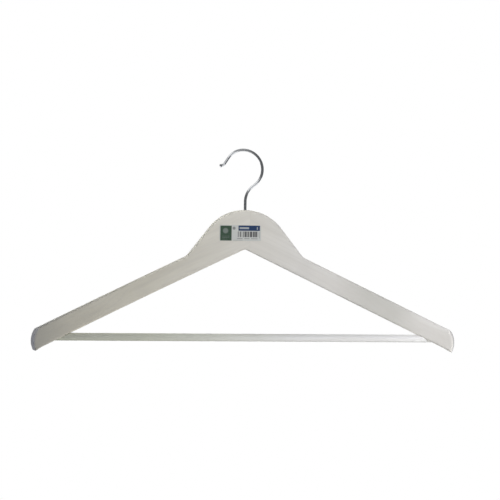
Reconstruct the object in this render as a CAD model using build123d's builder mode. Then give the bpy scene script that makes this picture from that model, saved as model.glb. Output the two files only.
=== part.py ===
from build123d import *
import os
from math import asin, atan2, cos, radians, sin, sqrt, tan

# A contoured wooden clothes hanger with a round trouser bar and a swivelling wire hook.
# Millimetres, +Z up, +X to the wearer's left, the hollow side of the body faces -Y.
# The origin is where a rail bears inside the hook; the swivel axis is the hook's stem.

# ---------------------------------------------------------------- driving dimensions
# body
hanger_width = 445.0          # over the shoulder ends, before their edges are rounded
plan_radius = 700.0           # middle line of the body, seen from above
body_thickness = 15.0
arm_angle = 25.7              # slope of the arms
arm_height = 19.8             # square to the arm's edges
head_height = 41.5            # top of the crown to the V under it
crown_radius = 48.0
crown_half_angle = 52.0       # where the crown turns into its straight flank
notch_radius = 10.0           # hollow between flank and arm
apex_radius = 1.5             # inside corner of the V
end_crown_share = 1.12        # radius of the rounded shoulder end, to the arm's height
end_crown_rise = 11.5         # widest point of the end above the arm's lower edge line
end_corner_radius = 8.0       # upper corner of the end
edge_round = 2.0              # router round on every long edge

# comb joint between the two halves
finger_count = 5
finger_length = 10.0

# trouser bar
bar_diameter = 8.0
bar_inset = 32.4              # shoulder's widest point to where the bar meets the arm
bar_seat_depth = 8.0          # length of the bore with wood all round it
bar_glue_gap = 0.05           # radial
bar_end_gap = 0.5             # bar's end to the bottom of its bore
pin_setback = 5.5             # brad to the end of the bar
pin_diameter = 1.4
pin_head_diameter = 2.6
pin_head_thickness = 0.6
pin_cover = 2.5               # wood left in front of the brad's point
pin_point_length = 1.5

# hook wire
wire_diameter = 3.0
hook_rise = 62.2              # rail seat above the crown
seat_offset = 2.8             # swivel axis to the right of the rail seat
bend_radius = 20.6            # big bend, centre line of the wire
nose_radius = 18.4            # bend over the open side
nose_angle = 57.0
nose_run = 7.6                # straight wire before the flare
flare_radius = 4.0
flare_end_angle = 20.0        # the tip's slope below level
flare_run = 1.1
tip_diameter = 4.3            # swelled end of the wire
tip_swell = 1.6
tip_length = 2.6
neck_angle = 50.0             # slope of the neck from the vertical
neck_radius = 20.0
stem_head_thickness = 1.6     # upset head under the sleeve

# swivel sleeve
running_gap = 0.05            # radial, wire to sleeve
sleeve_wall = 1.45
sleeve_length = 16.0
sleeve_recess = 0.3           # sleeve's top below the crown
sleeve_chamfer = 0.3
barb_count = 3
barb_pitch = 3.0
barb_depth = 0.35
stem_head_gap = 0.2           # end play of the wire in the sleeve
stem_head_side_gap = 0.6      # upset head to the wall of the bore
bore_bottom_gap = 2.0         # room under the upset head

# paper label on the front of the head
label_width = 44.0
label_height = 16.6
label_thickness = 0.2
label_corner = 0.8
label_offset = 5.4            # label's centre to the left of the swivel axis
label_drop = 24.2             # label's centre below the crown

# ---------------------------------------------------------------- worked-out dimensions
wire_radius = wire_diameter / 2
bar_radius = bar_diameter / 2
half_width = hanger_width / 2
front_radius = plan_radius - body_thickness / 2
back_radius = plan_radius + body_thickness / 2
arm_slope = tan(radians(arm_angle))
crown_z = -hook_rise
end_crown_radius = end_crown_share * arm_height
edge_turn = radians(30)        # from each flat of the router round to the next
beyond = 2 * end_crown_radius  # rough stock past the shoulder ends

# Body planes, both through the swivel axis at the top of the crown.
front = Plane(origin=(seat_offset, 0, crown_z), x_dir=(1, 0, 0), z_dir=(0, -1, 0))
plan = Plane(origin=(seat_offset, 0, crown_z), x_dir=(1, 0, 0), z_dir=(0, 0, 1))
swivel_axis = Axis((seat_offset, 0, 0), (0, 0, 1))


def lower_edge(x):
    """Height of the arm's lower edge line under the crown, x out from the swivel axis."""
    return -head_height - arm_slope * x


def upper_edge(x):
    """Height of the arm's upper edge line under the crown."""
    return lower_edge(x) + arm_height / cos(radians(arm_angle))


def middle_y(x):
    """How far the body's middle line lies behind (+) or before (-) the head."""
    return sqrt(plan_radius**2 - x**2) - plan_radius


# Where the bar meets the arms, out from the swivel axis.
bar_entry = half_width - bar_inset
bar_drop = -lower_edge(bar_entry)
bar_covered = bar_entry + bar_radius / arm_slope
bar_end = bar_covered + bar_seat_depth
bar_y = middle_y((bar_entry + bar_end) / 2)
bar_line = Plane(origin=(seat_offset, bar_y, crown_z - bar_drop), x_dir=(0, 1, 0), z_dir=(1, 0, 0))

# ---------------------------------------------------------------- brads
# Each brad is driven square to the back face, through the bar, towards the front.
pin_x = bar_end - pin_setback
pin_angle = atan2(pin_x, plan_radius + bar_y)
pin_length = body_thickness - pin_cover

bar_pins = {}
for side, name in ((-1, "left_bar_pin"), (1, "right_bar_pin")):
    inward = Vector(-side * sin(pin_angle), -cos(pin_angle), 0)
    ring_centre = Vector(seat_offset, -plan_radius, crown_z - bar_drop)
    head_plane = Plane(origin=ring_centre - inward * back_radius, z_dir=inward)
    with BuildPart() as bar_pin:
        with BuildSketch(head_plane):
            Circle(pin_head_diameter / 2)
        extrude(amount=pin_head_thickness)
        with BuildSketch(head_plane):
            Circle(pin_diameter / 2)
        extrude(amount=pin_length)
        point = bar_pin.faces().sort_by(Axis(head_plane.origin, inward))[-1]
        chamfer(point.edges(), pin_point_length, pin_diameter * 0.4)
    bar_pin.part.label = name
    bar_pins[name] = bar_pin.part

# ---------------------------------------------------------------- trouser bar
with BuildPart() as trouser_bar:
    with BuildSketch(bar_line):
        Circle(bar_radius)
    extrude(amount=bar_end, both=True)
    chamfer(trouser_bar.edges().filter_by(GeomType.CIRCLE), bar_radius / 8)
    for pin in bar_pins.values():
        add(pin, mode=Mode.SUBTRACT)
trouser_bar.part.label = "trouser_bar"

# ---------------------------------------------------------------- hook
# From the stem's foot: stem, neck bend to the right, neck, big bend over the rail,
# tighter bend over the open side, straight nose, and a flare that ends in the tip.
neck_sin = sin(radians(neck_angle))
neck_cos = cos(radians(neck_angle))
neck_run = (bend_radius * neck_cos - seat_offset - neck_radius * (1 - neck_cos)) / neck_sin
stem_top = wire_radius - bend_radius * (1 + neck_sin) - neck_run * neck_cos - neck_radius * neck_sin
stem_foot = crown_z - sleeve_recess - sleeve_length - stem_head_gap
dome_height = tip_length - tip_swell
dome_radius = ((tip_diameter / 2) ** 2 + dome_height**2) / (2 * dome_height)

with BuildPart() as hook:
    with BuildLine(Plane.XZ) as wire_path:
        stem = Line((seat_offset, stem_foot), (seat_offset, stem_top))
        neck_bend = JernArc(stem @ 1, stem % 1, neck_radius, -neck_angle)
        neck = Line(neck_bend @ 1, (neck_bend @ 1) + (neck_bend % 1) * neck_run)
        big_bend = JernArc(neck @ 1, neck % 1, bend_radius, 90 + neck_angle)
        nose_bend = JernArc(big_bend @ 1, big_bend % 1, nose_radius, nose_angle)
        nose = Line(nose_bend @ 1, (nose_bend @ 1) + (nose_bend % 1) * nose_run)
        flare = JernArc(nose @ 1, nose % 1, flare_radius, flare_end_angle - nose_angle)
        flare_end = Line(flare @ 1, (flare @ 1) + (flare % 1) * flare_run)
    with BuildSketch(Plane.XY.offset(stem_foot)) as wire_section:
        with Locations((seat_offset, 0)):
            Circle(wire_radius)
    sweep(path=wire_path.wire())

    # swelled tip with a domed end, turned about the end of the wire
    tip_start = wire_path.wire() @ 1
    tip_direction = wire_path.wire() % 1
    tip_plane = Plane(origin=tip_start, x_dir=tip_direction, z_dir=(0, -1, 0))
    with BuildSketch(tip_plane):
        with BuildLine():
            Polyline((tip_length, 0), (0, 0), (0, wire_radius), (tip_swell, tip_diameter / 2))
            RadiusArc((tip_swell, tip_diameter / 2), (tip_length, 0), dome_radius)
        make_face()
    revolve(axis=Axis(tip_start, tip_direction))

    # upset head that carries the sleeve
    with BuildSketch(Plane.XY.offset(stem_foot)):
        with Locations((seat_offset, 0)):
            Circle(wire_radius + running_gap + sleeve_wall - stem_head_side_gap)
    extrude(amount=-stem_head_thickness)
    chamfer(hook.edges().group_by(Axis.Z)[0], stem_head_thickness / 4)
hook.part.label = "hook"

# ---------------------------------------------------------------- hook sleeve
sleeve_inner = wire_radius + running_gap
sleeve_outer = sleeve_inner + sleeve_wall
sleeve_top = crown_z - sleeve_recess
sleeve_bottom = sleeve_top - sleeve_length
barb_top = sleeve_top - (sleeve_length - barb_count * barb_pitch) / 2

with BuildPart() as hook_sleeve:
    with BuildSketch(Plane.XZ):
        with Locations((seat_offset, sleeve_bottom)):
            Rectangle(sleeve_outer, sleeve_length, align=(Align.MIN, Align.MIN))
            Rectangle(sleeve_inner, sleeve_length, align=(Align.MIN, Align.MIN), mode=Mode.SUBTRACT)
        # saw-tooth grooves: each barb's ledge looks up, against being pulled out
        for barb in range(barb_count):
            ledge = barb_top - barb * barb_pitch
            with BuildLine():
                Polyline(
                    (seat_offset + sleeve_outer, ledge),
                    (seat_offset + sleeve_outer - barb_depth, ledge),
                    (seat_offset + sleeve_outer, ledge + barb_pitch * 0.8),
                    close=True,
                )
            make_face(mode=Mode.SUBTRACT)
    revolve(axis=swivel_axis)
    ends = hook_sleeve.edges().filter_by(GeomType.CIRCLE).group_by(Axis.Z)
    for rim in (ends[0], ends[-1]):
        chamfer(rim.sort_by(SortBy.LENGTH)[-1], sleeve_chamfer)
hook_sleeve.part.label = "hook_sleeve"

# ---------------------------------------------------------------- body, before it is split
bore_depth = (
    sleeve_recess + sleeve_length + stem_head_gap + stem_head_thickness + bore_bottom_gap
)
crown_end = (
    crown_radius * sin(radians(crown_half_angle)),
    crown_radius * (cos(radians(crown_half_angle)) - 1),
)
flank_slope = tan(radians(crown_half_angle))
notch_x = (crown_end[1] + flank_slope * crown_end[0] - upper_edge(0)) / (flank_slope - arm_slope)
stock_x = half_width + beyond

# Shoulder end: widest at its back edge, cut square to the faces. Its arc takes over
# outside the place where it runs level with the arm's upper edge.
end_angle = asin(half_width / back_radius)
end_height = lower_edge(half_width) + end_crown_rise
end_arc_start = end_crown_radius * (1 - sin(radians(arm_angle)))

with BuildPart() as body:
    with BuildSketch(front) as outline:
        with BuildLine():
            CenterArc((0, -crown_radius), crown_radius, 90 - crown_half_angle, crown_half_angle)
            Polyline(
                crown_end,
                (notch_x, upper_edge(notch_x)),
                (stock_x, upper_edge(stock_x)),
                (stock_x, lower_edge(stock_x)),
                (0, lower_edge(0)),
            )
            mirror(about=Plane.YZ)
        make_face()
        corners = outline.vertices()
        fillet([v for v in corners if abs(abs(v.X) - notch_x) < 0.01], notch_radius)
        fillet([v for v in corners if abs(v.X) < 0.01 and v.Y < -crown_radius / 2], apex_radius)
    extrude(amount=2 * (plan_radius - sqrt(plan_radius**2 - stock_x**2)), both=True)

    # the curve of the body in plan
    with BuildSketch(plan):
        with Locations((0, -plan_radius)):
            Circle(back_radius)
            Circle(front_radius, mode=Mode.SUBTRACT)
    extrude(amount=-2 * hanger_width, mode=Mode.INTERSECT)

    # rounded shoulder ends, cut square to the faces
    for side in (-1, 1):
        facing = Vector(-side * sin(end_angle), -cos(end_angle), 0)
        outward = Vector(side * cos(end_angle), -sin(end_angle), 0)
        middle = Vector(seat_offset, -plan_radius, crown_z) - facing * plan_radius
        with BuildSketch(Plane(origin=middle, x_dir=outward * side, z_dir=facing)):
            with Locations((side * (beyond - end_arc_start), end_height)):
                Rectangle(2 * beyond, 4 * arm_height)
            with Locations((-side * end_crown_radius, end_height)):
                Circle(end_crown_radius, mode=Mode.SUBTRACT)
        extrude(amount=2 * body_thickness, both=True, mode=Mode.SUBTRACT)
    for face in (body.faces().sort_by(Axis.X)[0], body.faces().sort_by(Axis.X)[-1]):
        fillet(face.edges().sort_by(Axis.Z)[-1], end_corner_radius)

    # router round on the edges of the front and back, in two flats
    face_setback = edge_round * (1 - tan(edge_turn))
    side_setback = edge_round * (1 - tan(edge_turn / 2))
    for face in body.faces().sort_by(SortBy.AREA)[-2:]:
        chamfer(face.edges(), face_setback, side_setback, reference=face)
    for face in body.faces().sort_by(SortBy.AREA)[-2:]:
        chamfer(face.edges(), side_setback - face_setback)

    # bore for the sleeve and the stem's head
    with BuildSketch(plan):
        Circle(sleeve_outer)
    extrude(amount=-bore_depth, mode=Mode.SUBTRACT)

    # bores for the bar, and holes that the brads make
    with BuildSketch(bar_line):
        Circle(bar_radius + bar_glue_gap)
    extrude(amount=bar_end + bar_end_gap, both=True, mode=Mode.SUBTRACT)
    for pin in bar_pins.values():
        add(pin, mode=Mode.SUBTRACT)

# ---------------------------------------------------------------- comb joint
# Everything to the right of the zigzag glue line, fingers of the right half included.
finger_width = body_thickness / finger_count

with BuildPart() as right_of_joint:
    with BuildSketch(plan):
        with Locations((finger_length / 2, 0)):
            Rectangle(stock_x, 2 * stock_x, align=(Align.MIN, Align.CENTER))
        with GridLocations(finger_length, 2 * finger_width, 1, finger_count // 2):
            Rectangle(finger_length, finger_width)
    extrude(amount=-2 * hanger_width)

with BuildPart() as left_arm:
    add(body.part)
    add(right_of_joint.part, mode=Mode.SUBTRACT)
left_arm.part.label = "left_arm"

with BuildPart() as right_arm:
    add(body.part)
    add(right_of_joint.part, mode=Mode.INTERSECT)
right_arm.part.label = "right_arm"

# ---------------------------------------------------------------- paper label
with BuildPart() as paper_label:
    with BuildSketch(front):
        with Locations((-label_offset, -label_drop)):
            RectangleRounded(label_width, label_height, label_corner)
    extrude(amount=body_thickness)
    with BuildSketch(plan):
        with Locations((0, -plan_radius)):
            Circle(front_radius)
            Circle(front_radius - label_thickness, mode=Mode.SUBTRACT)
    extrude(amount=-2 * head_height, mode=Mode.INTERSECT)
paper_label.part.label = "paper_label"

# ---------------------------------------------------------------- export
os.makedirs("parts", exist_ok=True)
pieces = [
    left_arm.part,
    right_arm.part,
    trouser_bar.part,
    hook.part,
    hook_sleeve.part,
    paper_label.part,
    *bar_pins.values(),
]
for piece in pieces:
    export_step(piece, f"parts/{piece.label}.step")
print("hook: neck run", round(neck_run, 2), "stem top", round(stem_top, 2))
print("bar: entry", round(bar_entry, 1), "covered", round(bar_covered, 1), "end", round(bar_end, 1))
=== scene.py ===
import math

import bmesh
import bpy
import numpy as np
from mathutils import Matrix, Vector


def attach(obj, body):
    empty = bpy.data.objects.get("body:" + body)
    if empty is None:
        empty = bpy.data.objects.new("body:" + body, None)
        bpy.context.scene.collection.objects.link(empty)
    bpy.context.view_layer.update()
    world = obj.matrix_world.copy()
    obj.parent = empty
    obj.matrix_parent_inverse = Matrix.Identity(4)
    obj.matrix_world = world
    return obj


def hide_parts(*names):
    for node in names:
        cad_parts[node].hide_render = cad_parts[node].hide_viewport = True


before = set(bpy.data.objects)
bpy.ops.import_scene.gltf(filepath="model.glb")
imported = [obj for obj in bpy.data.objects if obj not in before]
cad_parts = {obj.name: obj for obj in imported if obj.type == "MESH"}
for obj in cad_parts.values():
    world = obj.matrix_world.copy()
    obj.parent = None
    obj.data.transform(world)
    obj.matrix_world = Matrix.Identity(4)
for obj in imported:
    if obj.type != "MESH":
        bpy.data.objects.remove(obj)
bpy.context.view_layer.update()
mm = 0.001

camera = {
    "place": (-0.1061, -1.350, -0.0493),   # metres
    "yaw": 0.0848,                         # turned to the right of straight ahead, radians
    "pitch": -0.0408,                      # below level
    "roll": 0.0148,
    "focal": 1272.6,                       # in pixels of a picture 500 wide
    "picture": 500,
    "sensor": 36.0,                        # mm
    "nearest": 0.01, "farthest": 50,
}


def makeCamera(c):
    yaw, pitch, roll = c["yaw"], c["pitch"], c["roll"]
    flat = math.cos(pitch)
    ahead = Vector((math.sin(yaw) * flat, math.cos(yaw) * flat, math.sin(pitch)))
    level = Vector((math.cos(yaw), -math.sin(yaw), 0))
    upright = level.cross(ahead)
    right = level * math.cos(roll) + upright * math.sin(roll)
    up = upright * math.cos(roll) - level * math.sin(roll)
    data = bpy.data.cameras.new("camera")
    data.sensor_width = c["sensor"]
    data.lens = c["focal"] * c["sensor"] / c["picture"]
    data.clip_start, data.clip_end = c["nearest"], c["farthest"]
    obj = bpy.data.objects.new("camera", data)
    bpy.context.scene.collection.objects.link(obj)
    turn = Matrix((right, up, -ahead)).transposed()
    obj.matrix_world = Matrix.Translation(Vector(c["place"])) @ turn.to_4x4()
    bpy.context.scene.camera = obj


makeCamera(camera)
print("camera placed")


# A socket that takes part in sums: each operator adds one Math node.
class Wire:
    def __init__(self, finish, out):
        self.finish, self.out = finish, out

    def math(self, operation, *values):
        return self.finish.node("ShaderNodeMath", {"operation": operation}, dict(enumerate(values)))

    def __add__(self, other):
        return self.math("ADD", self, other)

    def __radd__(self, other):
        return self.math("ADD", other, self)

    def __sub__(self, other):
        return self.math("SUBTRACT", self, other)

    def __rsub__(self, other):
        return self.math("SUBTRACT", other, self)

    def __mul__(self, other):
        return self.math("MULTIPLY", self, other)

    def __rmul__(self, other):
        return self.math("MULTIPLY", other, self)

    def __truediv__(self, other):
        return self.math("DIVIDE", self, other)

    def __rtruediv__(self, other):
        return self.math("DIVIDE", other, self)

    def __mod__(self, other):
        return self.math("FLOORED_MODULO", self, other)

    def floor(self):
        return self.math("FLOOR", self)

    def sine(self):
        return self.math("SINE", self)

    def size(self):
        return self.math("ABSOLUTE", self)

    def most(self, other):
        return self.math("MAXIMUM", self, other)

    def least(self, other):
        return self.math("MINIMUM", self, other)

    # 0 below start, 1 above stop, straight between
    def ramp(self, start, stop):
        sockets = {"Value": self, "From Min": start, "From Max": stop}
        return self.finish.node("ShaderNodeMapRange", {"clamp": True}, sockets, "Result")

    # 0 below start, share above stop, straight between
    def rise(self, start, stop, share):
        return self.ramp(start, stop) * share


# The nodes of one material or of the world.
class Nodes:
    def __init__(self, owner, output):
        owner.use_nodes = True
        self.tree = owner.node_tree
        self.tree.nodes.clear()
        self.output = self.tree.nodes.new(output)

    def node(self, kind, settings=None, sockets=None, out=0):
        made = self.tree.nodes.new(kind)
        for name, value in (settings or {}).items():
            setattr(made, name, value)
        for name, value in (sockets or {}).items():
            self.feed(made.inputs[name], value)
        return Wire(self, made.outputs[out])

    def feed(self, socket, value):
        if isinstance(value, Wire):
            self.tree.links.new(value.out, socket)
        else:
            socket.default_value = value

    def show(self, surface):
        self.feed(self.output.inputs["Surface"], surface)

    def mix(self, share, first, second):
        made = self.tree.nodes.new("ShaderNodeMix")
        made.data_type = "RGBA"
        for name, value in ((0, share), (6, first), (7, second)):
            self.feed(made.inputs[name], value)
        return Wire(self, made.outputs[2])

    def place(self):
        return self.node("ShaderNodeTexCoord", out="Object")

    def mapped(self, vector, shift=(0, 0, 0), turn=(0, 0, 0), scale=(1, 1, 1)):
        sockets = {"Vector": vector, "Location": shift, "Rotation": turn, "Scale": scale}
        return self.node("ShaderNodeMapping", {"vector_type": "POINT"}, sockets)

    def noise(self, vector, scale, detail=3.0, rough=0.5, distortion=0.0):
        sockets = {"Vector": vector, "Scale": scale, "Detail": detail, "Roughness": rough,
                   "Distortion": distortion}
        return self.node("ShaderNodeTexNoise", None, sockets, "Fac")

    # noise drawn out by a scale for each axis
    def drawn(self, vector, scale, *rest):
        return self.noise(self.mapped(vector, scale=scale), 1.0, *rest)

    def parts(self, vector):
        made = self.tree.nodes.new("ShaderNodeSeparateXYZ")
        self.feed(made.inputs[0], vector)
        return [Wire(self, socket) for socket in made.outputs]

    def bump(self, height, distance, strength=1.0):
        sockets = {"Height": height, "Distance": distance, "Strength": strength}
        return self.node("ShaderNodeBump", None, sockets)


# One material: a Principled shader and what feeds it.
class Finish(Nodes):
    def __init__(self, name):
        self.material = bpy.data.materials.new(name)
        super().__init__(self.material, "ShaderNodeOutputMaterial")
        self.shader = self.tree.nodes.new("ShaderNodeBsdfPrincipled")
        self.surface = Wire(self, self.shader.outputs[0])
        self.show(self.surface)

    def set(self, **values):
        for name, value in values.items():
            self.feed(self.shader.inputs[name.replace("_", " ")], value)


# sRGB numbers 0-255 as a linear colour
def paint(red, green, blue):
    def linear(level):
        share = level / 255
        return share / 12.92 if share <= 0.04045 else ((share + 0.055) / 1.055) ** 2.4
    return (linear(red), linear(green), linear(blue), 1.0)


wood = {
    # pale and deep tone where the wood is warmer, towards the left (on the bar also a little
    # darker), then where it is plain
    "arm": ((paint(235, 229, 214), paint(217, 211, 195)),
            (paint(231, 227, 220), paint(216, 211, 203))),
    "bar": ((paint(237, 237, 220), paint(222, 222, 204)),
            (paint(245, 243, 239), paint(231, 228, 224))),
    "warmerLeft": (-100.0, 60.0),   # mm along X, from fully to not at all
    "endGrain": paint(198, 197, 195), "band": paint(214, 209, 200),
    # stretches of painted shade in a darker grey, at the left arm's end and along the right arm's
    # middle: mm along X where each begins, is full, fades and ends, and its share
    "paintedShadeGrey": paint(200, 197, 188),
    "paintedShadeStretches": ((-300.0, -290.0, -216.0, -180.0, 0.75), (98.0, 132.0, 160.0, 190.0, 0.7)),
    # how fine each pattern is along the board and across it, its detail, its roughness and
    # its distortion
    "fibre": ((9, 300, 300), 4.0, 0.62), "streak": ((3.2, 62, 62), 3.0, 0.5, 0.4),
    "wander": ((2.2, 15, 15), 2.0, 0.45, 0.8), "cloud": (22.0, 2.0, 0.5),
    "rings": (1, 1, 330), "ringWander": 26,
    # where each pattern starts to show and shows fully, and its share
    "fibreTone": (0.35, 0.75, 0.35), "cloudTone": (0.3, 0.7, 0.25),
    "streakTone": (0.35, 0.65, 0.5), "ringBand": (0.55, 1.0, 0.45),
    "streakBand": (0.45, 0.8, 0.35), "bandShare": 0.5, "sawn": (0.6, 0.85, 0.7),
    "relief": 0.00004, "reliefStrength": 0.45,
    "fibreRelief": 0.35, "streakRelief": 0.35, "ringRelief": (0.6, 1.0, 0.3),
    "rough": 0.46, "fibreRough": 0.10, "cloudRough": 0.05,
    "ior": 1.48, "gloss": 0.32,
    # where each board's grain starts: halfway between the two arms', how far each arm's
    # lies from there, the bar's, and the share of it that goes across the board
    "start": 0.4, "startApart": 0.31, "barStart": 1.7, "startAcross": 0.37,
}

# The glued comb's hairlines: they fade from the first breadth to the second, in mm.
seam = {
    "glue": paint(176, 168, 152), "share": 0.3, "dip": 1.2, "breadth": (0.04, 0.14),
    # in mm past the fingers' tips, then in layers: the outer faces' margin, and where the
    # level lines begin and are full
    "soft": 0.05, "margin": 0.01, "inner": (0.4, 0.5),
}


# Where the comb's hairlines run: upright ones at the fingers' tips, on one side of the
# middle and the other in turn, and level ones between neighbouring fingers.
def glueLines(place, f):
    x, y = f.parts(place)[:2]
    reach, layers, margin = joint["length"] / 2, joint["fingers"], seam["margin"]
    thick = body["thickness"] / layers
    across = x / mm - body["middleX"]
    layer = ((y / mm + body["thickness"] / 2) / thick).most(margin).least(layers - margin)
    tipX = reach - (layer.floor() % 2) * (2 * reach)
    upright = 1 - (across - tipX).size().ramp(*seam["breadth"])
    between = ((layer + 0.5) % 1 - 0.5).size() * thick
    within = 1 - across.size().ramp(reach, reach + seam["soft"])
    level = (1 - between.ramp(*seam["breadth"])) * within
    low, high = seam["inner"]
    inner = layer.ramp(low, high) * (1 - layer.ramp(layers - high, layers - low))
    return upright.most(level * inner)


# Fibres and faint growth bands, drawn out along a board turned by an angle about Y; the
# sawn ends, where the surface faces along the board, are a little darker.
def woodFinish(name, angle, start, tones, isArm=False):
    f = Finish(name)
    place = f.place()
    shift = (start, start * wood["startAcross"], 0)
    board = f.mapped(place, shift=shift, turn=(0, angle, 0))
    fibre = f.drawn(board, *wood["fibre"])
    streak = f.drawn(board, *wood["streak"])
    wander = f.drawn(board, *wood["wander"])
    rings = f.parts(f.mapped(board, scale=wood["rings"]))[2] + wander * wood["ringWander"]
    ring = f.node("ShaderNodeMath", {"operation": "PINGPONG"}, {0: rings, 1: 1.0})
    cloud = f.noise(board, *wood["cloud"])
    x = f.parts(place)[0]
    plainShare = x.ramp(wood["warmerLeft"][0] * mm, wood["warmerLeft"][1] * mm)
    pale, deep = (f.mix(plainShare, old, new) for old, new in zip(*tones))
    shade = fibre.rise(*wood["fibreTone"]) + cloud.rise(*wood["cloudTone"])
    shade = shade + streak.rise(*wood["streakTone"])
    colour = f.mix(shade, pale, deep)
    late = ring.rise(*wood["ringBand"]) + streak.rise(*wood["streakBand"])
    colour = f.mix(late * wood["bandShare"], colour, wood["band"])
    facing = f.mapped(f.node("ShaderNodeTexCoord", out="Normal"), turn=(0, angle, 0))
    colour = f.mix(f.parts(facing)[0].size().rise(*wood["sawn"]), colour, wood["endGrain"])
    height = fibre * wood["fibreRelief"] + streak * wood["streakRelief"]
    height = height + ring.rise(*wood["ringRelief"])
    if isArm:
        x = x / mm
        # painted shade: the arms turn darker grey in these stretches, standing in for shade
        for begin, full, fade, end, share in wood["paintedShadeStretches"]:
            wornAndPaintedShade = x.ramp(begin, full) * (1 - x.ramp(fade, end)) * share
            colour = f.mix(wornAndPaintedShade, colour, wood["paintedShadeGrey"])
        glue = glueLines(place, f)
        colour = f.mix(glue * seam["share"], colour, seam["glue"])
        height = height - glue * seam["dip"]
    rough = wood["rough"] + fibre * wood["fibreRough"] + cloud * wood["cloudRough"]
    f.set(Base_Color=colour, Roughness=rough, IOR=wood["ior"], Specular_IOR_Level=wood["gloss"])
    f.set(Normal=f.bump(height, wood["relief"], wood["reliefStrength"]))
    return f.material


chrome = {
    "metal": paint(233, 235, 238), "dull": paint(214, 217, 221),
    "lines": ((46, 3, 1), 3.0, 0.6), "wear": (240.0, 3.0, 0.55), "wornAndPaintedShade": (0.35, 0.7, 0.5),
    "rough": 0.09, "linesRough": 0.05, "wearRough": (0.4, 0.8, 0.07),
    "relief": 0.00001, "reliefStrength": 0.35,
}


# Bright plate over drawn wire: fine lines run along the wire, with faint cloudy wear.
def chromeFinish(name):
    f = Finish(name)
    lines = f.drawn(f.node("ShaderNodeTexCoord", out="UV"), *chrome["lines"])
    wear = f.noise(f.place(), *chrome["wear"])
    rough = chrome["rough"] + lines * chrome["linesRough"] + wear.rise(*chrome["wearRough"])
    f.set(Base_Color=f.mix(wear.rise(*chrome["wornAndPaintedShade"]), chrome["metal"], chrome["dull"]))
    f.set(Metallic=1.0, Roughness=rough)
    f.set(Normal=f.bump(lines, chrome["relief"], chrome["reliefStrength"]))
    return f.material


# Base and darker tone, and how fine the tool's rings are in X, Y and Z.
steel = {
    "sleeve": (paint(186, 186, 188), paint(150, 150, 153), (300, 300, 1800)),
    "brad": (paint(196, 196, 198), paint(160, 160, 163), (900, 900, 900)),
    "rings": (4.0, 0.6), "ringTone": (0.3, 0.7, 0.7), "patches": (420.0, 3.0, 0.5),
    "patchTone": 0.2, "rough": 0.28, "ringRough": 0.12, "patchRough": 0.08,
    "relief": 0.00002, "reliefStrength": 0.4,
}


# Turned or drawn steel: rings round an axis, a little duller in patches.
def steelFinish(name, colour, darker, scale):
    f = Finish(name)
    place = f.place()
    ring = f.drawn(place, scale, *steel["rings"])
    patch = f.noise(place, *steel["patches"])
    tone = ring.rise(*steel["ringTone"]) + patch * steel["patchTone"]
    rough = steel["rough"] + ring * steel["ringRough"] + patch * steel["patchRough"]
    f.set(Base_Color=f.mix(tone, colour, darker), Metallic=1.0, Roughness=rough)
    f.set(Normal=f.bump(ring, steel["relief"], steel["reliefStrength"]))
    return f.material


print("finishes ready")


# The quads between neighbouring points of a grid, which may close across its columns.
def gridFaces(rows, columns, closed):
    index = np.arange(rows * columns).reshape(rows, columns)
    if closed:
        index = np.concatenate([index, index[:, :1]], axis=1)
    corners = (index[:-1, :-1], index[:-1, 1:], index[1:, 1:], index[1:, :-1])
    return np.stack(corners, axis=-1).reshape(-1, 4)


# A mesh from points in mm; where uv is given, each point keeps its own.
def makeMesh(name, points, faces, uv=None):
    mesh = bpy.data.meshes.new(name)
    mesh.from_pydata((points.reshape(-1, 3) * mm).tolist(), [], faces.tolist())
    if uv is not None:
        layer = mesh.uv_layers.new(name="wrap")
        loops = np.zeros(len(mesh.loops), dtype=np.int32)
        mesh.loops.foreach_get("vertex_index", loops)
        layer.data.foreach_set("uv", uv.reshape(-1, 2)[loops].astype(np.float32).ravel())
    return mesh


# Doubled points are merged, and faces turned outwards.
def weld(mesh, distance=1e-6):
    made = bmesh.new()
    made.from_mesh(mesh)
    bmesh.ops.remove_doubles(made, verts=made.verts, dist=distance)
    bmesh.ops.recalc_face_normals(made, faces=made.faces)
    made.to_mesh(mesh)
    made.free()


def addObject(name, mesh, sharp=math.radians(32)):
    mesh.shade_smooth()
    mesh.set_sharp_from_angle(angle=sharp)
    obj = bpy.data.objects.new(name, mesh)
    bpy.context.scene.collection.objects.link(obj)
    return obj


# A profile (place along an axis, radius) turned about that axis: each ring is
# centre + radius * (cos, sin) in the plane of the two side directions.
def turned(profile, start, along, side, count):
    along, side = np.array(along, float), np.array(side, float)
    other = np.cross(along, side)
    angle = np.linspace(0, 2 * math.pi, count, endpoint=False)
    ring = np.outer(np.cos(angle), side) + np.outer(np.sin(angle), other)
    profile = np.array(profile, float)
    centre = np.array(start, float) + profile[:, :1] * along
    return centre[:, None, :] + profile[:, 1, None, None] * ring[None]


# In mm, x out from the swivel axis and z up.
body = {
    "width": 445.0, "planRadius": 700.0, "thickness": 15.0,
    "armAngle": math.radians(25.7), "armHeight": 19.8, "headHeight": 41.5,
    "crownRadius": 48.0, "crownAngle": math.radians(52), "notchRadius": 10.0, "apexRadius": 1.5,
    "endRise": 11.5, "cornerRadius": 8.0, "edgeRound": 2.0, "middleX": 2.8, "crownZ": -62.2,
    "endRatio": 1.12,        # the shoulder end's radius over the arm's height
    "matched": 10.0,         # x within which both edges are matched upright
    "turnLag": 0.5,          # how late the edge wall turns under the shoulder end
    "crownSteps": 44, "flankSteps": 14, "notchSteps": 12, "armSteps": 70, "cornerSteps": 16,
    "endSteps": 36, "tipSteps": 2000, "faceSteps": 8, "roundSteps": 6, "wallSteps": 5,
}


# Height of the arm's straight edges at x: the lower one starts the head's height under
# the crown and falls by the slope times x, and the upper one stands the arm's height off it.
def lowerEdge(x):
    return -body["headHeight"] - math.tan(body["armAngle"]) * x


def upperEdge(x):
    return lowerEdge(x) + body["armHeight"] / math.cos(body["armAngle"])


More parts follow.
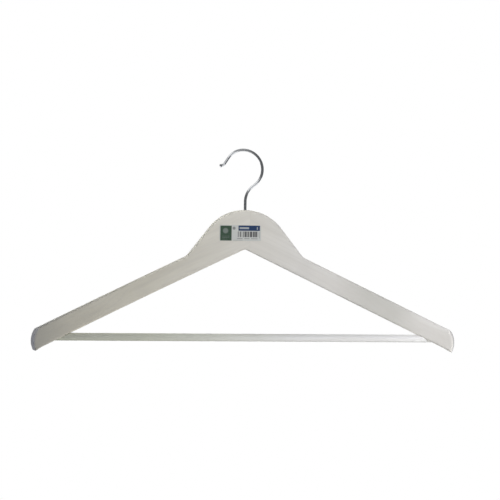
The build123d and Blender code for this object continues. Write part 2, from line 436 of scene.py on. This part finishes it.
# Rows of the outline: x out from the swivel axis, z under the crown, the outward normal's
# x and z, and the angle in plan by which the edge wall is turned there.
def outlineRows(x, z, normalX, normalZ, ruling=0.0):
    x = np.asarray(x, float)
    return np.stack([x, z + 0 * x, normalX + 0 * x, normalZ + 0 * x, ruling + 0 * x], axis=-1)


# Even steps along a straight edge, its start left out; the normal is turned by an angle
# from upright.
def lineRows(start, stop, angle, count):
    share = np.linspace(0, 1, count + 1)[1:]
    x = start[0] + (stop[0] - start[0]) * share
    z = start[1] + (stop[1] - start[1]) * share
    return outlineRows(x, z, math.sin(angle), math.cos(angle))


# Lower edge: a small arc in the V, then straight down the arm.
def lowerRows(x, ruling=0.0):
    a, radius = body["armAngle"], body["apexRadius"]
    turnX = radius * math.sin(a)
    inArc = x < turnX
    depth = np.sqrt(np.maximum(radius**2 - x**2, 0))
    arcZ = lowerEdge(turnX) - radius * math.cos(a) + depth
    z = np.where(inArc, arcZ, lowerEdge(x))
    normalX = np.where(inArc, -x / radius, -math.sin(a))
    normalZ = np.where(inArc, -depth / radius, -math.cos(a))
    return outlineRows(x, z, normalX, normalZ, ruling)


# Upper and lower edge in matching rows from tip to tip, so spaced that they meet at both
# tips once drawn in by inset. The shoulder end is a circle in a plane square to the body
# at its end, joined to the upper edge by a corner arc; (u, z) are coordinates there.
def outlinePairs(inset):
    a, height, radius = body["armAngle"], body["armHeight"], body["planRadius"]
    crown, turn, notch = body["crownRadius"], body["crownAngle"], body["notchRadius"]
    endAngle = math.asin(body["width"] / 2 / (radius + body["thickness"] / 2))
    crownEnd = (crown * math.sin(turn), crown * (math.cos(turn) - 1))
    meetX = crownEnd[1] + math.tan(turn) * crownEnd[0] - upperEdge(0)
    meetX /= math.tan(turn) - math.tan(a)
    tangent = notch * math.tan((turn - a) / 2)
    notchIn = (meetX - tangent * math.cos(turn), upperEdge(meetX) + tangent * math.sin(turn))
    notchOut = (meetX + tangent * math.cos(a), upperEdge(meetX) - tangent * math.sin(a))

    angle = np.linspace(0, turn, body["crownSteps"])
    sin, cos = np.sin(angle), np.cos(angle)
    head = [outlineRows(crown * sin, crown * (cos - 1), sin, cos)]
    head.append(lineRows(crownEnd, notchIn, turn, body["flankSteps"]))
    angle = np.linspace(turn, a, body["notchSteps"] + 1)[1:]
    sin, cos = np.sin(angle), np.cos(angle)
    centre = (notchIn[0] + notch * math.sin(turn), notchIn[1] + notch * math.cos(turn))
    head.append(outlineRows(centre[0] - notch * sin, centre[1] - notch * cos, sin, cos))
    head = np.concatenate(head)

    # shoulder end, in (u, z)
    ring, corner = body["endRatio"] * height, body["cornerRadius"]
    endX, slope = radius * math.sin(endAngle), math.tan(a) * math.cos(endAngle)
    tilt = math.atan(slope)
    endZ = lowerEdge(body["width"] / 2) + body["endRise"]
    drop = upperEdge(endX) - corner / math.cos(tilt) - endZ
    half = ring - slope * drop
    square = 1 + slope**2
    reach = half**2 - square * (ring**2 + drop**2 - (ring - corner) ** 2)
    cornerU = (-half + math.sqrt(max(reach, 0))) / square
    cornerZ = endZ + drop - slope * cornerU
    switch = math.atan2(cornerZ - endZ, cornerU + ring)

    def outwards(u):
        return np.sqrt(radius**2 - u**2) * math.sin(endAngle) + u * math.cos(endAngle)

    # the tip: where the end's circle, drawn in, comes down to the lower edge, drawn in
    angle = np.linspace(-math.pi / 2, 0, body["tipSteps"])
    x = outwards(ring * (np.cos(angle) - 1)) - inset * np.cos(angle)
    above = endZ + (ring - inset) * np.sin(angle) - lowerEdge(x) - inset / math.cos(a)
    tipAngle, tipX = np.interp(0, above, angle), np.interp(0, above, x) - inset * math.sin(a)

    startX = float(outwards(cornerU + corner * math.sin(tilt)))
    arm = lineRows(notchOut, (startX, upperEdge(startX)), a, body["armSteps"])
    angle = np.linspace(math.pi / 2 - tilt, switch, body["cornerSteps"] + 1)[1:]
    share = (math.pi / 2 - tilt - angle) / (math.pi / 2 - tilt - switch)
    bend = outlineRows(outwards(cornerU + corner * np.cos(angle)), cornerZ + corner * np.sin(angle),
                       np.cos(angle), np.sin(angle), endAngle * share**2 * (3 - 2 * share))
    angle = np.linspace(switch, tipAngle, body["endSteps"] + 1)[1:]
    end = outlineRows(outwards(ring * (np.cos(angle) - 1)), endZ + ring * np.sin(angle),
                      np.cos(angle), np.sin(angle), endAngle)

    # the lower edge, matched upright near the middle and square to the arm further out
    upright, lag = body["matched"], body["turnLag"]
    footX = notchOut[0] - height * math.sin(a)
    stretch = (footX - upright) / (notchOut[0] - upright)
    x = head[:, 0]
    lower = [lowerRows(np.where(x < upright, x, upright + (x - upright) * stretch))]
    lower.append(lowerRows(arm[:, 0] - height * math.sin(a)))
    share = np.linspace(0, 1, len(bend) + len(end) + 1)[1:]
    lastX = lower[1][-1, 0]
    ruling = endAngle * np.clip(share * (1 + lag) - lag, 0, 1)
    lower.append(lowerRows(lastX + (tipX - lastX) * share, ruling))
    upper, lower = np.concatenate([head, arm, bend, end]), np.concatenate(lower)
    flip = np.array([-1, 1, -1, 1, -1.0])
    return [np.concatenate([rows[:0:-1] * flip, rows]) for rows in (upper, lower)]


# A row's point, drawn in from the outline by inset, at a depth from the body's middle
# surface: it lies on a line of its own ruling angle, where that meets the ring in plan.
def bodyPoint(rows, inset, depth):
    radius = body["planRadius"]
    x, z = rows[:, 0] - inset * rows[:, 2], rows[:, 1] - inset * rows[:, 3]
    y = np.sqrt(radius**2 - x**2)
    dirX, dirY = np.sin(rows[:, 4]), np.cos(rows[:, 4])
    near = x * dirX + y * dirY
    step = -near + np.sqrt(near**2 - (radius**2 - (radius + depth) ** 2))
    return np.stack([x + step * dirX, y + step * dirY - radius, z], axis=-1)


# The body's skin as one grid: rows run from tip to tip, columns once round the section -
# up the hollow face, over the upper edge with a quarter round each side, down the back,
# and under the lower edge.
def bodySkin():
    soft, half = body["edgeRound"], body["thickness"] / 2
    quarter = np.linspace(0, math.pi / 2, body["roundSteps"] + 1)
    shares = np.linspace(0, 1, body["faceSteps"] + 1)
    columns = []

    def face(depth, shares):
        high, low = (bodyPoint(rows, soft, depth) for rows in outlinePairs(soft))
        columns.extend(low + (high - low) * share for share in shares)

    # from a face round the upper (0) or lower (1) edge and its wall on to the other face
    def edge(which, side):
        turn = [(soft * (1 - math.sin(a)), -half + soft * (1 - math.cos(a))) for a in quarter[1:]]
        steps = np.linspace(0, 1, body["wallSteps"] + 1)[1:]
        wall = [(0, (half - soft) * (2 * share - 1)) for share in steps]
        leave = [(soft * (1 - math.cos(a)), half - soft * (1 - math.sin(a))) for a in quarter[1:]]
        for inset, depth in turn + wall + leave:
            columns.append(bodyPoint(outlinePairs(inset)[which], inset, side * depth))

    face(-half, shares)
    edge(0, 1)
    face(half, shares[-2::-1])
    edge(1, -1)
    columns.pop()
    points = np.stack(columns, axis=1)
    points[..., 0] += body["middleX"]
    points[..., 2] += body["crownZ"]
    return points


# In mm. Each "past" is how far its cutting tool runs on beyond the wood.
bar = {"radius": 4.0, "inset": 32.4, "seat": 8.0, "chamfer": 0.5, "glueGap": 0.05,
       "endGap": 0.5, "sides": 72, "steps": 60, "past": 30.0}
brad = {"setback": 5.5, "head": 1.3, "headDepth": 0.6, "clear": 0.02, "sides": 40, "past": 3.0}
bore = {"radius": 3.0, "depth": 20.1, "sides": 64, "past": 5.0}
joint = {"fingers": 5, "length": 10.0}

halfWidth = body["width"] / 2
barEntry = halfWidth - bar["inset"]
barEnd = barEntry + bar["radius"] / math.tan(body["armAngle"]) + bar["seat"]
barMiddle = (barEntry + barEnd) / 2
barY = math.sqrt(body["planRadius"] ** 2 - barMiddle**2) - body["planRadius"]
barZ = body["crownZ"] + lowerEdge(barEntry)


# A turned profile as a closed mesh, and a plain rod.
def turnedMesh(name, profile, start, along, side, count):
    points = turned(profile, start, along, side, count)
    mesh = makeMesh(name, points, gridFaces(len(profile), count, True))
    weld(mesh)
    return mesh


def rod(name, radius, length, start, along, side, count):
    profile = [(0, 0), (0, radius), (length, radius), (length, 0)]
    return turnedMesh(name, profile, start, along, side, count)


# The right half's share of the glued comb: a zigzag in plan, carried down past the arms.
def combMesh():
    reach, depth = body["width"], body["width"]
    half, thick = joint["length"] / 2, body["thickness"] / joint["fingers"]
    plan = [(half, -depth)]
    for finger in range(joint["fingers"]):
        x = half if finger % 2 == 0 else -half
        front = -body["thickness"] / 2 + thick * finger
        if finger > 0:
            plan.append((x, front))
        if finger < joint["fingers"] - 1:
            plan.append((x, front + thick))
    plan += [(half, depth), (reach, depth), (reach, -depth)]
    plan = np.array(plan)
    count = len(plan)
    low = np.column_stack([plan, np.full(count, -depth)])
    high = np.column_stack([plan, np.full(count, depth)])
    points = np.concatenate([low, high]) + np.array([body["middleX"], 0, body["crownZ"]])
    mesh = bpy.data.meshes.new("comb")
    side = [[i, (i + 1) % count, (i + 1) % count + count, i + count] for i in range(count)]
    ends = [list(range(count))[::-1], list(range(count, 2 * count))]
    mesh.from_pydata((points * mm).tolist(), [], side + ends)
    return mesh


# The mesh that is left after each tool in turn is taken away or kept.
def carved(name, mesh, tools):
    obj = bpy.data.objects.new(name, mesh)
    bpy.context.scene.collection.objects.link(obj)
    helpers = []
    for number, (tool, operation) in enumerate(tools):
        helper = bpy.data.objects.new(f"{name}Tool{number}", tool)
        bpy.context.scene.collection.objects.link(helper)
        cut = obj.modifiers.new(f"cut{number}", "BOOLEAN")
        cut.object, cut.operation, cut.solver = helper, operation, "EXACT"
        helpers.append(helper)
    bpy.context.view_layer.update()
    ready = obj.evaluated_get(bpy.context.evaluated_depsgraph_get())
    result = bpy.data.meshes.new_from_object(ready)
    for helper in [obj, *helpers]:
        bpy.data.objects.remove(helper)
    return result


skin = bodySkin()
bodyMesh = makeMesh("body", skin, gridFaces(*skin.shape[:2], True))
weld(bodyMesh)
combTool = combMesh()
weld(combTool)
boreFoot = (body["middleX"], 0, body["crownZ"] - bore["depth"])
boreTool = rod("bore", bore["radius"], bore["depth"] + bore["past"], boreFoot,
               (0, 0, 1), (1, 0, 0), bore["sides"])

for side, name, keep in ((-1, "leftArm", "DIFFERENCE"), (1, "rightArm", "INTERSECT")):
    node = "left_arm" if side < 0 else "right_arm"
    inner = barEntry - bar["past"]
    seat = rod("seat", bar["radius"] + bar["glueGap"], barEnd + bar["endGap"] - inner,
               (body["middleX"] + side * inner, barY, barZ), (side, 0, 0), (0, 1, 0), bar["sides"])
    pinX = barEnd - brad["setback"]
    lean = math.atan2(pinX, body["planRadius"] + barY)
    outwards = np.array([side * math.sin(lean), math.cos(lean), 0])
    back = body["planRadius"] + body["thickness"] / 2
    centre = np.array([body["middleX"], -body["planRadius"], barZ])
    headSeat = rod("headSeat", brad["head"] + brad["clear"], brad["past"] + brad["headDepth"],
                   centre + outwards * (back - brad["headDepth"]), outwards, (0, 0, 1),
                   brad["sides"])
    mesh = carved(name, bodyMesh.copy(), [(boreTool, "DIFFERENCE"), (seat, "DIFFERENCE"),
                                          (headSeat, "DIFFERENCE"), (combTool, keep)])
    arm = addObject(name, mesh)
    mesh.materials.clear()
    start = wood["start"] + wood["startApart"] * side
    mesh.materials.append(woodFinish(name + "Wood", -side * body["armAngle"], start,
                                     wood["arm"], isArm=True))
    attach(arm, "hanger")
    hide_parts(node)
    print(name, "has", len(mesh.polygons), "faces")

length = 2 * barEnd
edge, radius = bar["chamfer"], bar["radius"]
run = np.linspace(edge, length - edge, bar["steps"])
profile = [(0, 0), (0, radius - edge), *((along, radius) for along in run),
           (length, radius - edge), (length, 0)]
barMesh = turnedMesh("trouserBar", profile, (body["middleX"] - barEnd, barY, barZ),
                     (1, 0, 0), (0, 1, 0), bar["sides"])
barPiece = addObject("trouserBar", barMesh)
barMesh.materials.append(woodFinish("barWood", 0.0, wood["barStart"], wood["bar"]))
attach(barPiece, "hanger")
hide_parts("trouser_bar")
print("trouser bar turned")

# In mm: radii of the wire and of its bends, straight runs, and the ends' heads.
hook = {
    "wire": 1.5, "bend": 20.6, "nose": 18.4, "noseAngle": math.radians(57), "noseRun": 7.6,
    "flare": 4.0, "flareEnd": math.radians(20), "flareRun": 1.1,
    "neckAngle": math.radians(50), "neck": 20.0, "seatX": 2.8,
    "footZ": -78.7, "head": 2.4, "headDepth": 1.6, "headEdge": 0.4,
    "footEdge": 0.12, "tip": 2.15, "swell": 1.6, "tipLength": 2.6, "tipEdge": 0.25,
    # rings on the swelling tip: shares of the swell, then how far past the swell's length
    # and the tip's radius the rim's own rings lie
    "swellRings": (0.3, 0.6, 0.88), "rimRings": ((-0.04, -0.02), (0.08, -0.03)),
    "domeRings": 9, "sides": 48, "step": 0.55, "sharp": math.radians(40),
}


# The wire's line in its plane, from the foot of the stem: straights and arcs, each arc
# turning the heading at an even rate. Gives points and headings.
def wireLine(h):
    sin, cos = math.sin(h["neckAngle"]), math.cos(h["neckAngle"])
    neckRun = (h["bend"] * cos - h["seatX"] - h["neck"] * (1 - cos)) / sin
    stemTop = h["wire"] - h["bend"] * (1 + sin) - neckRun * cos - h["neck"] * sin
    steps = [("run", stemTop - h["footZ"], 0), ("arc", h["neck"], -h["neckAngle"]),
             ("run", neckRun, 0), ("arc", h["bend"], math.pi / 2 + h["neckAngle"]),
             ("arc", h["nose"], h["noseAngle"]), ("run", h["noseRun"], 0),
             ("arc", h["flare"], h["flareEnd"] - h["noseAngle"]), ("run", h["flareRun"], 0)]
    point, heading = np.array([h["seatX"], h["footZ"]]), math.pi / 2
    points, headings = [point[None]], [np.array([heading])]
    for kind, size, turn in steps:
        long = size if kind == "run" else size * abs(turn)
        count = max(2, int(math.ceil(long / h["step"])))
        share = np.linspace(0, 1, count + 1)[1:]
        if kind == "run":
            made = point + np.outer(share * size, [math.cos(heading), math.sin(heading)])
            headings.append(np.full(count, heading))
        else:
            way = math.copysign(1, turn)
            centre = point + way * size * np.array([-math.sin(heading), math.cos(heading)])
            angle = heading + turn * share
            made = centre + way * size * np.column_stack([np.sin(angle), -np.cos(angle)])
            headings.append(angle)
        points.append(made)
        point, heading = made[-1], headings[-1][-1]
    return np.concatenate(points), np.concatenate(headings)


# The wire as a grid: a circle square to the line at each point, its radius given by the
# upset head at the foot, the plain wire, and the swelled, domed tip.
def hookGrid(h):
    line, heading = wireLine(h)
    ahead = np.column_stack([np.cos(heading), np.sin(heading)])
    wire = np.full(len(line), h["wire"])
    low = [(-h["headDepth"], 0), (-h["headDepth"], h["head"] - h["headEdge"]),
           (-h["headDepth"] + h["headEdge"], h["head"]), (-h["footEdge"], h["head"]),
           (0, h["head"] - h["footEdge"]), (0, h["wire"])]
    swell, tip, full = h["swell"], h["tip"], h["tipLength"]
    dome = (tip**2 + (full - swell) ** 2) / (2 * (full - swell))
    rim = math.asin((tip - h["tipEdge"]) / dome)
    high = [(swell * s, h["wire"] + (tip - h["wire"]) * s) for s in h["swellRings"]]
    high += [(swell + past, tip + more) for past, more in h["rimRings"]]
    high += [(full - dome * (1 - math.cos(a)), dome * math.sin(a))
             for a in np.linspace(rim, 0, h["domeRings"])]
    low, high = np.array(low), np.array(high)
    centre = np.concatenate([line[0] + np.outer(low[:, 0], ahead[0]), line,
                             line[-1] + np.outer(high[:, 0], ahead[-1])])
    radius = np.concatenate([low[:, 1], wire, high[:, 1]])
    heading = np.concatenate([np.full(len(low), heading[0]), heading,
                              np.full(len(high), heading[-1])])
    angle = np.linspace(0, 2 * math.pi, h["sides"], endpoint=False)
    across = np.column_stack([np.sin(heading), -np.cos(heading)])
    x = centre[:, :1] + radius[:, None] * np.cos(angle) * across[:, :1]
    z = centre[:, 1:] + radius[:, None] * np.cos(angle) * across[:, 1:]
    y = radius[:, None] * np.sin(angle) + 0 * x
    steps = np.linalg.norm(np.diff(centre, axis=0), axis=1)
    along = np.concatenate([[0], np.cumsum(steps)]) / (2 * math.pi * h["wire"])
    uv = np.stack(np.broadcast_arrays(angle[None] / (2 * math.pi), along[:, None]), axis=-1)
    return np.stack([x, y, z], axis=-1), uv


points, uv = hookGrid(hook)
hookMesh = makeMesh("hookWire", points, gridFaces(*points.shape[:2], True), uv)
weld(hookMesh)
hookPiece = addObject("hookWire", hookMesh, hook["sharp"])
hookMesh.materials.append(chromeFinish("hookChrome"))
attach(hookPiece, "hook")
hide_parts("hook")
print("hook bent")

label = {
    "width": 44.0, "height": 16.6, "thickness": 0.2, "corner": 0.8,
    "offset": -5.4, "drop": 24.2, "columns": 60, "rows": 28, "cornerRows": 6,
    "paper": paint(208, 208, 202), "green": paint(62, 80, 65), "lightGreen": paint(94, 114, 98),
    "blue": paint(46, 65, 97), "ink": paint(64, 62, 63), "pale": paint(196, 198, 196),
    # what is printed: left, low, right and high in mm from the lower left corner
    "block": (0.7, 0.1, 12.9, 16.0), "strip": (20.0, 10.6, 42.9, 16.3),
    "code": (18.3, 3.9, 41.0, 10.0),
    "dense": [(25.8, 3.0, 31.6, 11.0), (32.2, 3.0, 41.6, 11.0)],
    "blueMarks": [(21.0, 12.3, 31.5, 14.7), (39.4, 11.8, 40.8, 14.9)],
    "greenMarks": [(2.6, 4.6, 10.6, 5.1), (2.6, 3.0, 10.6, 3.5), (2.6, 1.4, 8.4, 1.9)],
    "rules": [(18.6, 1.9, 24.6, 2.8), (26.2, 1.9, 32.0, 2.8), (33.4, 1.9, 40.6, 2.8),
              (14.4, 0.4, 24.6, 0.9), (42.2, 2.6, 42.8, 9.8)],
    # middle, radius and softness
    "disc": ((6.4, 10.6), 2.8, 0.4), "stud": ((15.4, 13.3), 1.6, 0.4),
    # the code's waves, each with its rate, its shift and its share, and where they are cut
    "waves": ((2.3, 0.0, 1.0), (5.1, 1.0, 0.8), (1.15, 1.6, 0.6)), "cut": (-0.1, 0.25),
    "greenSoft": 0.3, "blueSoft": 0.4, "denseSoft": 0.8, "ruleSoft": 0.2,
    "greenInk": 0.42, "discInk": 0.3, "blueInk": 0.7, "codeInk": 0.86, "ruleInk": 0.6,
    "fibre": (2600.0, 3.0, 0.6), "fibreTone": 0.25,
    "weave": (900.0, 2.0, 0.5), "weaveTone": (0.4, 0.75, 0.35),
    "rough": 0.62, "stripRough": 0.12, "blockRough": 0.1, "fibreRough": 0.08, "gloss": 0.35,
    "relief": 0.00001, "reliefStrength": 0.4,
}


# The label as a closed sheet bent round the hollow face: x and z on a grid whose rows
# shorten in the corners, once at the paper's face and once at the wood.
def labelGrid(d):
    across, up = np.linspace(-1, 1, d["columns"]), d["height"] / 2
    inner = up - d["corner"]
    ends = inner + d["corner"] * np.sin(np.linspace(0, math.pi / 2, d["cornerRows"]))
    z = np.concatenate([-ends[::-1], np.linspace(-inner, inner, d["rows"])[1:-1], ends])
    over = np.maximum(np.abs(z) - inner, 0)
    halfWide = d["width"] / 2 - d["corner"] + np.sqrt(np.maximum(d["corner"] ** 2 - over**2, 0))
    x = d["offset"] + halfWide[:, None] * across[None]
    z = z[:, None] + 0 * x
    layers = []
    for lift in (d["thickness"], 0.0):
        ring = body["planRadius"] - body["thickness"] / 2 - lift
        y = np.sqrt(ring**2 - x**2) - body["planRadius"]
        layers.append(np.stack([x + body["middleX"], y, z + body["crownZ"] - d["drop"]], axis=-1))
    uv = np.stack([(x - d["offset"]) / d["width"] + 0.5, z / d["height"] + 0.5], axis=-1)
    return layers, uv


# The sheet's two layers, joined round their edge by a rim of quads.
def labelMesh(d):
    (front, back), uv = labelGrid(d)
    rows, columns = front.shape[:2]
    count = rows * columns
    index = np.arange(count).reshape(rows, columns)
    edge = np.concatenate([index[0], index[1:, -1], index[-1, -2::-1], index[-2:0:-1, 0]])
    following = np.roll(edge, -1)
    sheet = gridFaces(rows, columns, False)
    rim = np.column_stack([edge, edge + count, following + count, following])
    faces = np.concatenate([sheet, sheet[:, ::-1] + count, rim])
    points = np.concatenate([front.reshape(-1, 3), back.reshape(-1, 3)])
    return makeMesh("paperLabel", points, faces, np.concatenate([uv.reshape(-1, 2)] * 2))


# 1 inside a rectangle of the label, in mm from its lower left corner
def inside(f, u, v, left, low, right, high, soft=0.12):
    wide = (u - left).ramp(0, soft) * (1 - (u - right).ramp(-soft, 0))
    return wide * (v - low).ramp(0, soft) * (1 - (v - high).ramp(-soft, 0))


# a disc of the label, its edge softened
def dot(f, u, v, centre, radius, soft):
    x, y = (u - centre[0]) / radius, (v - centre[1]) / radius
    return 1 - (x * x + y * y).ramp(1 - soft, 1 + soft)


# Printed paper: a green block, a blue strip, an uneven row of fine bars made by adding
# three sine waves along the label and cutting the sum at a level, and a few plain rules.
def labelFinish(d):
    f = Finish("labelPaper")
    u, v = f.parts(f.node("ShaderNodeTexCoord", out="UV"))[:2]
    u, v = u * d["width"], v * d["height"]
    fibre = f.noise(f.place(), *d["fibre"])
    weave = f.noise(f.place(), *d["weave"])
    colour = f.mix(fibre * d["fibreTone"], d["paper"], d["pale"])
    block, strip = inside(f, u, v, *d["block"]), inside(f, u, v, *d["strip"])
    green = f.mix(weave.rise(*d["weaveTone"]), d["green"], d["lightGreen"])
    for mark in d["greenMarks"]:
        green = f.mix(inside(f, u, v, *mark, d["greenSoft"]) * d["greenInk"], green, d["pale"])
    green = f.mix(dot(f, u, v, *d["disc"]) * d["discInk"], green, d["pale"])
    colour = f.mix(block, colour, green)
    blue = d["blue"]
    for mark in d["blueMarks"]:
        blue = f.mix(inside(f, u, v, *mark, d["blueSoft"]) * d["blueInk"], blue, d["pale"])
    colour = f.mix(strip, colour, blue)
    wave = 0
    for rate, shift, share in d["waves"]:
        wave = wave + (u * rate + shift).sine() * share
    for mark in d["dense"]:
        wave = wave + inside(f, u, v, *mark, d["denseSoft"])
    code = inside(f, u, v, *d["code"]) * wave.ramp(*d["cut"])
    colour = f.mix(code * d["codeInk"], colour, d["ink"])
    rules = dot(f, u, v, *d["stud"])
    for mark in d["rules"]:
        rules = rules.most(inside(f, u, v, *mark, d["ruleSoft"]))
    colour = f.mix(rules * d["ruleInk"], colour, d["ink"])
    rough = d["rough"] - strip * d["stripRough"] - block * d["blockRough"]
    rough = rough + fibre * d["fibreRough"]
    f.set(Base_Color=colour, Roughness=rough, Specular_IOR_Level=d["gloss"])
    f.set(Normal=f.bump(fibre, d["relief"], d["reliefStrength"]))
    return f.material


sheetMesh = labelMesh(label)
weld(sheetMesh)
labelPiece = addObject("paperLabel", sheetMesh)
sheetMesh.materials.append(labelFinish(label))
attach(labelPiece, "hanger")
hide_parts("paper_label")
print("label laid")

sleeveSteel = steelFinish("sleeveSteel", *steel["sleeve"])
bradSteel = steelFinish("bradSteel", *steel["brad"])
dressed = {"hook_sleeve": sleeveSteel, "left_bar_pin": bradSteel, "right_bar_pin": bradSteel}
for node, finish in dressed.items():
    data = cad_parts[node].data
    data.materials.clear()
    data.materials.append(finish)
print("steel dressed")

room = {
    "floorZ": -0.62, "floorY": 0.15, "floorSize": 3.2, "wallY": 2.4, "wallZ": 1.4,
    "bend": 0.8, "bendRows": 17, "columns": 9,
    "floor": paint(238, 238, 238), "shade": paint(228, 228, 228), "grain": (60.0, 2.0, 0.5),
    "grainTone": 0.05, "rough": 0.9, "show": 1.0,
    "ambient": 0.01, "ambientTint": (1, 0.95, 0.85, 1),
    "dim": 0.13, "dimTint": (0.96, 0.98, 1, 1),
}


# A plain pale surface that shows white to the camera and in reflections.
def paleFinish(name, r):
    f = Finish(name)
    seen = f.node("ShaderNodeLightPath", out="Is Camera Ray").most(
        f.node("ShaderNodeLightPath", out="Is Glossy Ray"))
    grain = f.noise(f.place(), *r["grain"])
    f.set(Base_Color=f.mix(grain * r["grainTone"], r["floor"], r["shade"]), Roughness=r["rough"])
    glow = f.node("ShaderNodeEmission", None, {"Color": (1, 1, 1, 1), "Strength": r["show"]})
    f.show(f.node("ShaderNodeMixShader", None, {0: seen, 1: f.surface, 2: glow}))
    return f.material


# A backdrop: floor in front, wall behind, joined by a quarter arc.
def makeSweep(r):
    half, bend = r["floorSize"] / 2, r["bend"]
    angle = np.linspace(0, math.pi / 2, r["bendRows"])
    y = np.concatenate([[r["floorY"]], r["wallY"] - bend + bend * np.sin(angle), [r["wallY"]]])
    z = np.concatenate([[r["floorZ"]], r["floorZ"] + bend * (1 - np.cos(angle)), [r["wallZ"]]])
    x = np.linspace(-half, half, r["columns"])
    points = np.stack(np.broadcast_arrays(x[None], y[:, None], z[:, None]), axis=-1)
    mesh = makeMesh("floor", points / mm, gridFaces(len(y), len(x), False)[:, ::-1])
    return addObject("floor", mesh)


floor = makeSweep(room)
floor.data.materials.append(paleFinish("floorPale", room))
floor.visible_diffuse = False

# The room: white where the camera looks past the backdrop, dim in polished metal, and a
# little soft light on everything.
world = bpy.data.worlds.new("world")
bpy.context.scene.world = world
sky = Nodes(world, "ShaderNodeOutputWorld")


def background(tint, strength):
    return sky.node("ShaderNodeBackground", None, {"Color": tint, "Strength": strength})


direct = sky.node("ShaderNodeLightPath", out="Is Camera Ray")
gloss = sky.node("ShaderNodeLightPath", out="Is Glossy Ray")
white, dim = background((1, 1, 1, 1), 1.0), background(room["dimTint"], room["dim"])
soft = background(room["ambientTint"], room["ambient"])
around = sky.node("ShaderNodeMixShader", None, {0: gloss, 1: soft, 2: dim})
sky.show(sky.node("ShaderNodeMixShader", None, {0: direct, 1: around, 2: white}))

# Disc lamps: place and aim in metres, diameter, and power in watts.
lamps = [
    {"name": "key", "place": (0.9, -1.15, 0.35), "aim": (1.9, 0.0, 0.30),
     "size": 0.35, "power": 62.5, "colour": (0.91, 0.93, 1.0)},
    {"name": "side", "place": (-0.62, -0.14, -0.17), "aim": (-0.21, -0.02, -0.18),
     "size": 0.22, "power": 0.76, "colour": (0.75, 0.80, 1.0)},
    {"name": "crown", "place": (-0.16, -0.08, 0.15), "aim": (0.73, 0.02, -0.30),
     "size": 0.12, "power": 0.56, "colour": (0.97, 1.0, 0.96)},
    {"name": "low", "place": (0.35, -0.5, -0.8), "aim": (0.15, 0.0, -0.16),
     "size": 0.4, "power": 4.1, "colour": (0.98, 1.0, 1.0)},
    {"name": "rear", "place": (-0.5, 1.4, -0.10), "aim": (0.0, 0.0, -0.12),
     "size": 0.8, "power": 14.0, "colour": (1.0, 0.99, 0.97)},
]


def makeLamp(d):
    data = bpy.data.lights.new(d["name"], "AREA")
    data.shape, data.size = "DISK", d["size"]
    data.energy, data.color = d["power"], d["colour"]
    obj = bpy.data.objects.new(d["name"], data)
    bpy.context.scene.collection.objects.link(obj)
    obj.visible_glossy = obj.visible_camera = False
    way = Vector(d["aim"]) - Vector(d["place"])
    turn = way.to_track_quat("-Z", "Y").to_matrix()
    obj.matrix_world = Matrix.Translation(Vector(d["place"])) @ turn.to_4x4()


for lamp in lamps:
    makeLamp(lamp)

# Pale reflectors, seen only in polished metal and lacquer. Each is a flat sheet facing the
# hook: lean is its angle round from straight below, turn its middle's angle round from the
# front, and its long side runs from the front towards the back.
reflectors = [
    {"name": "lowStrip", "lean": 40, "turn": 65, "far": 1.0,
     "halfLong": 1.0, "halfWide": 0.22, "shine": 1.0},
    {"name": "highStrip", "lean": 220, "turn": 65, "far": 1.0,
     "halfLong": 1.0, "halfWide": 0.22, "shine": 1.0},
    {"name": "lowSheet", "lean": 10, "turn": 65, "far": 1.15,
     "halfLong": 1.1, "halfWide": 0.6, "shine": 0.4},
    {"name": "highSheet", "lean": 190, "turn": 65, "far": 1.15,
     "halfLong": 1.1, "halfWide": 0.6, "shine": 0.4},
]
hookMiddle = np.array([0.0, 0.0, -0.03])
cloth = {"pale": paint(255, 255, 255), "shade": paint(236, 236, 236), "weave": 30.0, "tone": 0.1,
         "rows": 9, "columns": 3}


def makeReflector(d):
    lean, turn = math.radians(d["lean"]), math.radians(d["turn"])
    across, front = np.array([math.sin(lean), 0, -math.cos(lean)]), np.array([0, -1.0, 0])
    way = front * math.cos(turn) + across * math.sin(turn)
    length = across * math.cos(turn) - front * math.sin(turn)
    rows, columns = cloth["rows"], cloth["columns"]
    u, v = np.meshgrid(np.linspace(-1, 1, rows), np.linspace(-1, 1, columns), indexing="ij")
    points = hookMiddle + way * d["far"] + u[..., None] * length * d["halfLong"]
    points = points + v[..., None] * np.cross(way, length) * d["halfWide"]
    piece = addObject(d["name"], makeMesh(d["name"], points / mm, gridFaces(rows, columns, False)))
    f = Finish(d["name"] + "Cloth")
    weave = f.noise(f.place(), cloth["weave"]) * cloth["tone"]
    colour = f.mix(weave, cloth["pale"], cloth["shade"])
    f.show(f.node("ShaderNodeEmission", None, {"Color": colour, "Strength": d["shine"]}))
    piece.data.materials.append(f.material)
    piece.visible_camera = piece.visible_diffuse = False
    piece.visible_shadow = piece.visible_transmission = False


for sheet in reflectors:
    makeReflector(sheet)
bpy.context.scene.view_settings.view_transform = "Standard"
print("lights set")
